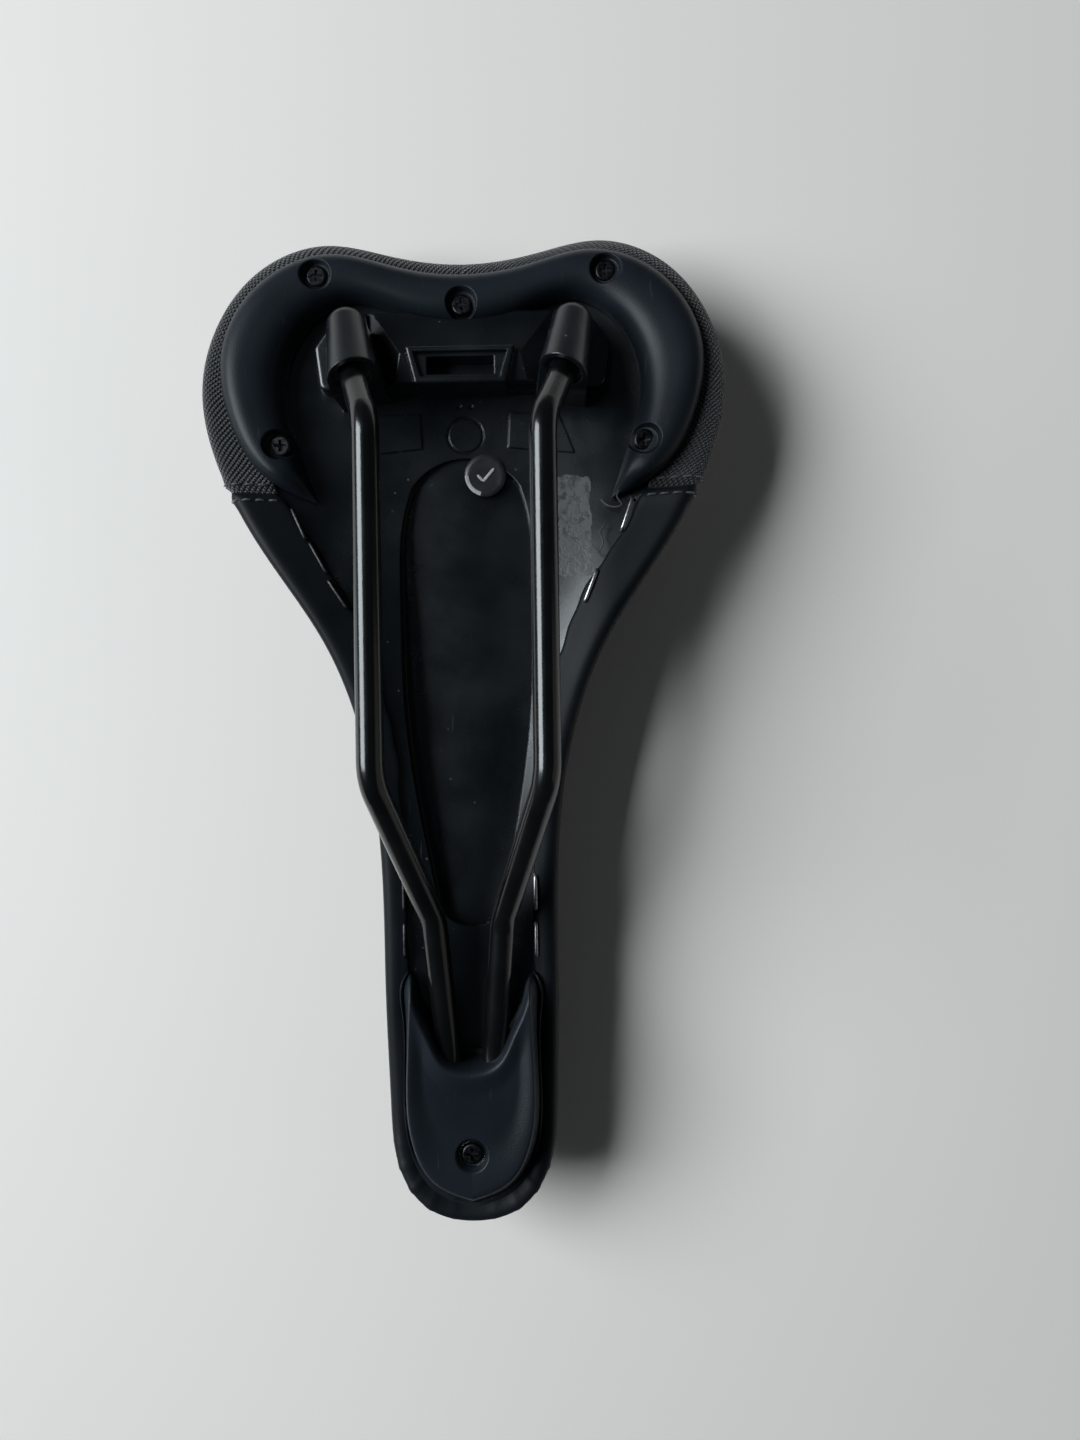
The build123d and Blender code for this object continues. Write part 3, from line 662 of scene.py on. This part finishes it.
def refine_cover(cover):
    """Smooths the cover once, sinks its seam and pleats its nose corners."""
    smoother = cover.modifiers.new("smooth", "SUBSURF")
    smoother.levels = 1
    smoother.render_levels = 1
    smoother.boundary_smooth = "PRESERVE_CORNERS"
    apply_modifiers(cover)

    def cut(bm):
        for offset in (-2.6, -1.2, -0.5, 0, 0.5, 1.2, 2.6):
            place = (0, (SEAM_Y + offset) * MM, 0)
            everything = list(bm.verts) + list(bm.edges) + list(bm.faces)
            bmesh.ops.bisect_plane(bm, geom=everything, dist=0.00002, plane_co=place, plane_no=(0, 1, 0))
        bm.normal_update()
        moves = []
        for vertex in bm.verts:
            x, y, z = (c / MM for c in vertex.co)
            shift = -0.6 * math.exp(-((y - SEAM_Y) / 0.7) ** 2)
            shift += 0.22 * math.exp(-((abs(y - SEAM_Y) - 2.6) / 1.4) ** 2)
            corner = math.hypot(abs(x) - 14.5, y + 158.5)
            if corner < 16 and z < 42:
                fold = math.cos(math.atan2(y + 148, abs(x) - 4) * 17)
                shift += 0.45 * max(0.0, fold) ** 3 * (1 - corner / 16) - 0.12 * (1 - corner / 16)
            moves.append(vertex.normal * shift * MM)
        for vertex, move in zip(bm.verts, moves):
            vertex.co += move

    edit(cover, cut)


def half_cover(cover, name, front):
    """The part of the cover in front of or behind the seam, as a skin of even thickness."""
    piece = bpy.data.objects.new(name, cover.data.copy())
    bpy.context.scene.collection.objects.link(piece)

    def cut(bm):
        everything = list(bm.verts) + list(bm.edges) + list(bm.faces)
        bmesh.ops.bisect_plane(bm, geom=everything, dist=0.00002, plane_co=(0, SEAM_Y * MM, 0),
                               plane_no=(0, 1, 0), clear_outer=front, clear_inner=not front)

    edit(piece, cut)
    thickness = piece.modifiers.new("thickness", "SOLIDIFY")
    thickness.thickness = PANEL_WALL * MM
    thickness.offset = -1
    apply_modifiers(piece)
    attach(piece, "root")
    return piece


cover = make_cover()
puff(cover)
refine_cover(cover)
COVER_TREE = tree_of(cover)
front_cover = half_cover(cover, "front_cover_leather", True)
rear_cover = half_cover(cover, "rear_cover_woven", False)
bpy.data.objects.remove(cover)
paint(front_cover, LEATHER)
paint(rear_cover, WOVEN)
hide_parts("cover_front", "foam_pad")
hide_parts("cover_rear")


# ---------------------------------------------------------------- guards
def refine_near(bm, spots, reach, rounds):
    """Splits the faces near each spot."""
    for _ in range(rounds):
        near = set()
        for face in bm.faces:
            centre = face.calc_center_median()
            if any(math.hypot(centre.x / MM - x, centre.y / MM - y) < reach for x, y in spots):
                near.update(face.edges)
        bmesh.ops.subdivide_edges(bm, edges=list(near), cuts=1, use_grid_fill=True)


def sink_screws(bm, spots, radius, rim, depth):
    """A round counterbore with a softened rim at each spot, pushed up into the guard."""
    for x, y in spots:
        for vertex in bm.verts:
            away = math.hypot(vertex.co.x / MM - x, vertex.co.y / MM - y)
            if away < radius + rim:
                share = 1 - float(smooth_step(radius - 0.25, radius + rim, away))
                vertex.co.z += depth * share * MM


def rear_guard():
    """Rounded horseshoe bumper round the tail and wings."""
    outer_right = [(18, 94), (36, 97.5), (53, 91), (65, 72), (62.8, 50), (54, 35.5), (40, 28.5)]
    inner_right = [(18.5, 81.5), (31, 84.3), (42.5, 77), (48.3, 61), (44.9, 43), (40, 28.5)]
    tail = arc_through((-18, 94), (0, 91.7), (18, 94), 7)
    lip = arc_through((-18.5, 81.5), (0, 77.5), (18.5, 81.5), 7)

    def mirrored(line):
        return [(-x, y) for x, y in line[::-1]]

    count = 420
    outer = smooth_line(mirrored(outer_right)[:-1] + [tuple(p) for p in tail] + outer_right[1:], count)
    inner = smooth_line(mirrored(inner_right)[:-1] + [tuple(p) for p in lip] + inner_right[1:], count)
    shares = np.linspace(0, 1, 27)
    points = []
    for a, b in zip(outer, inner):
        width = np.linalg.norm(b - a)
        rise = GUARD_RISE * float(smooth_step(-0.5, 11, width))
        for share in shares:
            spread = 0.5 - 0.5 * math.cos(math.pi * share)
            x, y = a + (b - a) * spread
            swell = (1 - abs(2 * spread - 1) ** 2.7) ** (1 / 2.1)
            foot = float(base_under(x, y)) - FLAP_DROP + ROOT_LIFT
            points.append((x, y, foot - (rise + ROOT_LIFT) * swell))
    guard = make_mesh("rear_guard_bumper", points, grid_faces(count, len(shares)))

    def change(bm):
        bmesh.ops.remove_doubles(bm, verts=bm.verts, dist=0.00002)
        refine_near(bm, REAR_SCREWS, 6.5, 2)
        sink_screws(bm, REAR_SCREWS, 3.7, 0.7, 2.4)
        bmesh.ops.recalc_face_normals(bm, faces=bm.faces)
        if sum(face.normal.z for face in bm.faces) > 0:
            bmesh.ops.reverse_faces(bm, faces=bm.faces)

    edit(guard, change)
    return guard


def nose_guard():
    """Shield over the nose: two arms with crests that meet round the front of a dished middle."""
    outer_right = [(17.5, -100), (18.9, -102), (19.3, -112), (19.1, -132), (17.6, -149.5), (10.9, -161.2),
                   (0, -165.8)]
    inner_right = [(17.2, -100), (15.6, -101.8), (13.9, -107), (10.7, -114.5), (6.2, -122.2), (3.2, -123.6),
                   (0, -124)]
    count = 260
    outer_half = smooth_line(outer_right, count)
    inner_fine = smooth_line(inner_right, 1200)
    last = len(inner_fine) - 1
    inner_half = inner_fine[[int(last * (i / (count - 1))) for i in range(count)]]
    flip = np.array((-1, 1))
    outer = np.vstack((outer_half, (outer_half * flip)[::-1][1:]))
    inner = np.vstack((inner_half, (inner_half * flip)[::-1][1:]))
    shares = np.linspace(0, 1, 49)
    points = []
    for a, b in zip(outer, inner):
        length = np.linalg.norm(b - a)
        for share in shares:
            x, y = a + (b - a) * share
            from_outer = share * length
            from_inner = (1 - share) * length
            crest = float(smooth_step(1.6, 6.4, from_outer))
            lip = 0.3 * float(smooth_step(-0.2, 0.7, from_outer))
            groove = 0.1 * math.exp(-((from_outer - 1.9) / 0.45) ** 2)
            dish = 0.11 * float(smooth_step(6.5, 19, from_outer)) * float(smooth_step(2, 9, from_inner))
            inside = (1 - (1 - min(1.0, from_inner / 3.4)) ** 2.4) ** 0.5
            swell = max(0.0, (lip + (1 - lip) * crest - groove - dish) * inside)
            foot = float(base_under(x, y)) - FLAP_DROP + ROOT_LIFT
            points.append((x, y, foot - (foot - NOSE_CREST) * swell))
    guard = make_mesh("nose_guard_shield", points, grid_faces(len(outer), len(shares)))

    def change(bm):
        bmesh.ops.remove_doubles(bm, verts=bm.verts, dist=0.00002)
        refine_near(bm, (NOSE_SCREW,), 7, 2)
        sink_screws(bm, (NOSE_SCREW,), 3.2, 1.5, 1.9)
        bmesh.ops.recalc_face_normals(bm, faces=bm.faces)
        if sum(face.normal.z for face in bm.faces) > 0:
            bmesh.ops.reverse_faces(bm, faces=bm.faces)

    edit(guard, change)
    return guard


for piece, node in ((rear_guard(), "rear_guard"), (nose_guard(), "nose_guard")):
    paint(piece, GUARD)
    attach(piece, "root")
    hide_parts(node)


# ---------------------------------------------------------------- stitches and staples
def tube(path, radius, sides=8, flat=1.0):
    """Points and faces of a closed round tube along a path of vectors."""
    points = []
    faces = []
    count = len(path)
    up = Vector((0, 0, 1))
    for i, spot in enumerate(path):
        ahead = (path[min(i + 1, count - 1)] - path[max(i - 1, 0)]).normalized()
        side = ahead.cross(up)
        if side.length < 1e-3:
            side = ahead.cross(Vector((1, 0, 0)))
        side.normalize()
        over = side.cross(ahead).normalized()
        size = radius * (0.45 if i in (0, count - 1) else 1.0)
        for k in range(sides):
            turn = 2 * math.pi * k / sides
            points.append(spot + side * math.cos(turn) * size + over * math.sin(turn) * size * flat)
    for i in range(count - 1):
        for k in range(sides):
            a = i * sides + k
            b = i * sides + (k + 1) % sides
            faces.append((a, b, b + sides, a + sides))
    faces.append(tuple(range(sides))[::-1])
    faces.append(tuple(range((count - 1) * sides, count * sides)))
    return points, faces


def join_tubes(name, tubes, material):
    points = []
    faces = []
    for some_points, some_faces in tubes:
        start = len(points)
        points.extend(some_points)
        faces.extend(tuple(start + k for k in face) for face in some_faces)
    piece = make_mesh(name, points, faces)
    edit(piece, lambda bm: bmesh.ops.recalc_face_normals(bm, faces=bm.faces))
    paint(piece, material)
    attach(piece, "root")
    return piece


def on_cover(spot, lift):
    """The nearest place on the cover, raised along its normal, in millimetres."""
    hit, normal, _, _ = COVER_TREE.find_nearest(spot * MM)
    return hit / MM + normal * lift


def seam_row(offset):
    """Evenly spaced points across the cover at a set distance from the seam, one row for each side."""
    y = SEAM_Y + offset
    count = 900
    points, _ = cover_grid(count)
    rows = []
    right = [i for i in range(count) if points[i, 8, 0] > 0]
    left = [i for i in range(count) if points[i, 8, 0] < 0]
    for side in (right, left):
        best = min(side, key=lambda i: abs(points[i, 8, 1] - y))
        line = points[best].copy()
        line[:, 1] = y
        rows.append(evenly(line[2:], 260))
    return rows


def stitching():
    """A row of stitches on each side of the seam."""
    tubes = []
    for offset in (-STITCH_OFFSET, STITCH_OFFSET):
        for line in seam_row(offset):
            along = np.concatenate(([0], np.cumsum(np.linalg.norm(np.diff(line, axis=0), axis=1))))
            place = 0.8
            while place + 3.0 < along[-1] - 1:
                path = []
                for share, lift in ((0, -0.15), (0.18, 0.22), (0.5, 0.3), (0.82, 0.22), (1, -0.15)):
                    run = place + STITCH_LENGTH * share
                    spot = [float(np.interp(run, along, line[:, k])) for k in range(3)]
                    path.append(on_cover(Vector(spot), lift))
                tubes.append(tube(path, STITCH_RADIUS))
                place += STITCH_PITCH
    return join_tubes("seam_stitching", tubes, THREAD)


stitching()


def thread_ends():
    """Two loose curled tails of seam thread on the flap at -X."""
    tails = (((-45.8, 33.5), (-43.2, 31.2), (-41.6, 28.6), (-42.8, 26.4), (-40.2, 26.0), (-37.2, 28.4)),
             ((-38.6, 21.5), (-36.9, 18.8), (-37.6, 16.2), (-36.2, 13.8), (-34.6, 16.4)))
    tubes = []
    for tail in tails:
        path = []
        for k, (x, y) in enumerate(smooth_line(tail, 24)):
            lift = 0.5 + 0.9 * math.sin(k / 23 * math.pi)
            path.append(Vector((x, y, float(base_under(x, y)) - FLAP_DROP - lift)))
        tubes.append(tube(path, THREAD_END_RADIUS))
    join_tubes("loose_thread_ends", tubes, THREAD)


thread_ends()


def staple_wires(spots):
    """Bent wire crowns on the flap, with their legs turned into it."""
    tubes = []
    for x, y, along_x, along_y in spots:
        heading = Vector((along_x, along_y)).normalized()
        path = []
        for run, lift in ((-4.6, 1.0), (-4.75, 0.2), (-4.5, -0.45), (-3.6, -0.62), (0, -0.7), (3.6, -0.62),
                          (4.5, -0.45), (4.75, 0.2), (4.6, 1.0)):
            px = x + heading.x * run
            py = y + heading.y * run
            path.append(Vector((px, py, float(base_under(px, py)) - FLAP_DROP + lift)))
        tubes.append(tube(path, STAPLE_RADIUS, 8, 0.7))
    return tubes


STAPLES = {
    "staples_right": ((44.8, 22.5, -0.45, -1), (39.6, 13.2, -0.55, -1), (34.4, 3.2, -0.65, -1)),
    "staples_left": ((-44.3, 24, 0.35, -1), (-34.2, 4.6, 0.4, -1)),
    "staples_nose": ((18, -78.5, 0, -1), (18, -91.5, 0, -1), (-18, -78.5, 0, -1), (-18, -91.5, 0, -1)),
    "staples_tail": ((12, 90, 1, 0.1), (-12, 90, 1, 0.1), (26, 92.5, 1, 0.1), (-26, 92.5, 1, -0.1),
                     (61.5, 74, 0.25, -1), (-61.5, 74, 0.25, 1), (61, 56, 0.15, 1), (-61, 56, 0.15, -1)),
}
for node, spots in STAPLES.items():
    wires = join_tubes(node + "_wires", staple_wires(spots), STAPLE)
    wires.data.materials.append(STAPLE_STEEL_SHADED)
    # staples on the +X side take the darker copy of the steel: painted shade
    for face in wires.data.polygons:
        face.material_index = 1 if face.center.x > 0 else 0
    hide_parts(node)


# ---------------------------------------------------------------- sticker
def sticker():
    """A thin round sticker with a printed crescent and tick."""
    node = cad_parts["inspection_sticker"]
    low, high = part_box("inspection_sticker")
    centre = (low + high) / 2 / MM
    tree = tree_of(node)

    def put(x, y, lift):
        height, _ = height_below(tree, x, y)
        if height is None:
            height = centre.z
        return (x, y, height - lift)

    def disc(name, inner, outer, lift, made, start=0.0, stop=2 * math.pi, shift=(0, 0)):
        turns = np.linspace(start, stop, 65)
        rings = np.linspace(inner, outer, 5)
        points = []
        for turn in turns:
            for radius in rings:
                x = centre.x + shift[0] + radius * math.cos(turn)
                y = centre.y + shift[1] + radius * math.sin(turn)
                curl = 0.18 * max(0.0, (radius / 5.7)) ** 4
                points.append(put(x, y, lift + curl))
        piece = make_mesh(name, points, grid_faces(len(turns), len(rings)))

        def change(bm):
            bmesh.ops.remove_doubles(bm, verts=bm.verts, dist=0.00001)
            bmesh.ops.recalc_face_normals(bm, faces=bm.faces)
            if sum(face.normal.z for face in bm.faces) > 0:
                bmesh.ops.reverse_faces(bm, faces=bm.faces)

        edit(piece, change)
        thickness = piece.modifiers.new("thickness", "SOLIDIFY")
        thickness.thickness = 0.12 * MM
        thickness.offset = -1
        apply_modifiers(piece)
        paint(piece, made)
        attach(piece, "root")
        return piece

    body = disc("sticker_disc", 0.0, 5.75, 0.02, FILM)
    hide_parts("inspection_sticker")
    disc("sticker_crescent", 4.5, 5.6, 0.08, PRINT, math.radians(285), math.radians(360))
    tick = []
    for share in np.linspace(0, 1, 12):
        if share < 0.35:
            x = 2.2 - 1.7 * share / 0.35
            y = 0.2 - 1.6 * share / 0.35
        else:
            x = 0.5 - 3.1 * (share - 0.35) / 0.65
            y = -1.4 + 3.4 * (share - 0.35) / 0.65
        px, py, pz = put(centre.x + x, centre.y + y, 0.1)
        tick.append(Vector((px, py, pz)))
    join_tubes("sticker_tick", [tube(tick, 0.42, 8, 0.2)], PRINT)


sticker()

carry("base_shell", BASE)
carry("seat_rail", RAIL)
carry("rear_guard_screws", SCREW)
carry("nose_guard_screw", SCREW)
carry("foam_pad", FOAM)


# ---------------------------------------------------------------- surroundings
def surface_material(name, colour):
    """Pale painted board that can only be seen from its front."""
    made, tree, shader, place = new_material(name)
    cloud = noise(tree, place, 3, 4)
    light = tuple(min(1.0, c * 1.04) for c in colour)
    tree.links.new(ramp(tree, cloud, ((0.3, colour), (0.7, light))), shader.inputs["Base Color"])
    shader.inputs["Roughness"].default_value = 0.55
    shader.inputs["Specular IOR Level"].default_value = 0.25
    facing = add(tree, "NewGeometry").outputs["Backfacing"]
    clear = tree.nodes.new("ShaderNodeBsdfTransparent").outputs[0]
    both = tree.nodes.new("ShaderNodeMixShader")
    tree.links.new(facing, both.inputs[0])
    tree.links.new(shader.outputs[0], both.inputs[1])
    tree.links.new(clear, both.inputs[2])
    output = next(n for n in tree.nodes if n.type == "OUTPUT_MATERIAL")
    tree.links.new(both.outputs[0], output.inputs["Surface"])
    return made


def board(name, height, faces_down, made):
    """A large square board at a height in millimetres."""
    corners = [(x * BOARD_REACH, y * BOARD_REACH, height) for x, y in ((-1, -1), (1, -1), (1, 1), (-1, 1))]
    piece = make_mesh(name, corners, [(3, 2, 1, 0)] if faces_down else [(0, 1, 2, 3)])
    paint(piece, made)
    piece.visible_shadow = False
    return piece


shown_low, shown_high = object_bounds()
table_paint = surface_material("table_paint", (0.87, 0.82, 0.77))
ground_paint = surface_material("ground_paint", (0.66, 0.665, 0.66))
board("table_top", shown_high.z / MM + BOARD_GAP, True, table_paint)
ground = board("ground", shown_low.z / MM - BOARD_GAP, False, ground_paint)
ground.visible_diffuse = False
ground.visible_glossy = False


def area_light(name, place, aim, size, power, colour):
    data = bpy.data.lights.new(name, "AREA")
    data.shape = "RECTANGLE"
    data.size, data.size_y = size
    data.energy = power
    data.color = colour
    made = bpy.data.objects.new(name, data)
    bpy.context.scene.collection.objects.link(made)
    made.location = place
    made.rotation_mode = "QUATERNION"
    made.rotation_quaternion = (Vector(aim) - Vector(place)).to_track_quat("-Z", "Y")
    made.visible_camera = False


area_light("window", (1.35, 0.25, -1.1), (0, -0.03, 0), (1.4, 1.1), 46, (0.87, 0.95, 1.0))
area_light("room", (-1.1, -0.3, -0.35), (0, 0, 0), (0.8, 0.8), 0.5, (1.0, 0.93, 0.85))
sun_data = bpy.data.lights.new("sky", "SUN")
sun_data.energy = 1.9
sun_data.angle = 0.6
sky = bpy.data.objects.new("sky", sun_data)
bpy.context.scene.collection.objects.link(sky)
sky.rotation_mode = "QUATERNION"
sky.rotation_quaternion = Vector((-0.5, 0.45, -1.0)).to_track_quat("-Z", "Y")

world = bpy.data.worlds.new("room_light")
world.use_nodes = True
sky_tree = world.node_tree
background = next(n for n in sky_tree.nodes if n.type == "BACKGROUND")
direction = sky_tree.nodes.new("ShaderNodeTexCoord").outputs["Generated"]
heading = add(sky_tree, "SeparateXYZ", None, {0: direction})
level = math_node(sky_tree, "MULTIPLY_ADD", heading.outputs[2], 0.5)
level.node.inputs[2].default_value = 0.5
shades = ramp(sky_tree, level, ((0.0, (0.024, 0.03, 0.036)), (0.3, (0.022, 0.025, 0.028)),
                                (0.484, (0.02, 0.02, 0.02)), (0.498, (0.72, 0.74, 0.76)),
                                (1.0, (0.72, 0.75, 0.78))))
sky_tree.links.new(shades, background.inputs["Color"])
background.inputs["Strength"].default_value = 1.0
bpy.context.scene.world = world
bpy.context.scene.view_settings.view_transform = "Standard"

# ---------------------------------------------------------------- camera
camera_data = bpy.data.cameras.new("camera")
camera = bpy.data.objects.new("camera", camera_data)
bpy.context.scene.collection.objects.link(camera)
bpy.context.scene.camera = camera
camera_data.sensor_fit = "VERTICAL"
camera_data.sensor_height = 36.0
camera_data.sensor_width = 36.0
camera_data.lens = 27.05
camera_data.clip_start = 0.01
camera_data.clip_end = 20
tilt_x, tilt_y, tilt_z = (math.radians(a) for a in (-0.3, -0.9, -0.8))
turned = (Matrix.Rotation(tilt_z, 3, "Z") @ Matrix.Rotation(tilt_y, 3, "Y") @ Matrix.Rotation(tilt_x, 3, "X"))
pose = Matrix((-turned[0], turned[1], -turned[2])).transposed().to_4x4()
pose.translation = Vector((-24.5, -30, -267.5)) * MM
camera.matrix_world = pose
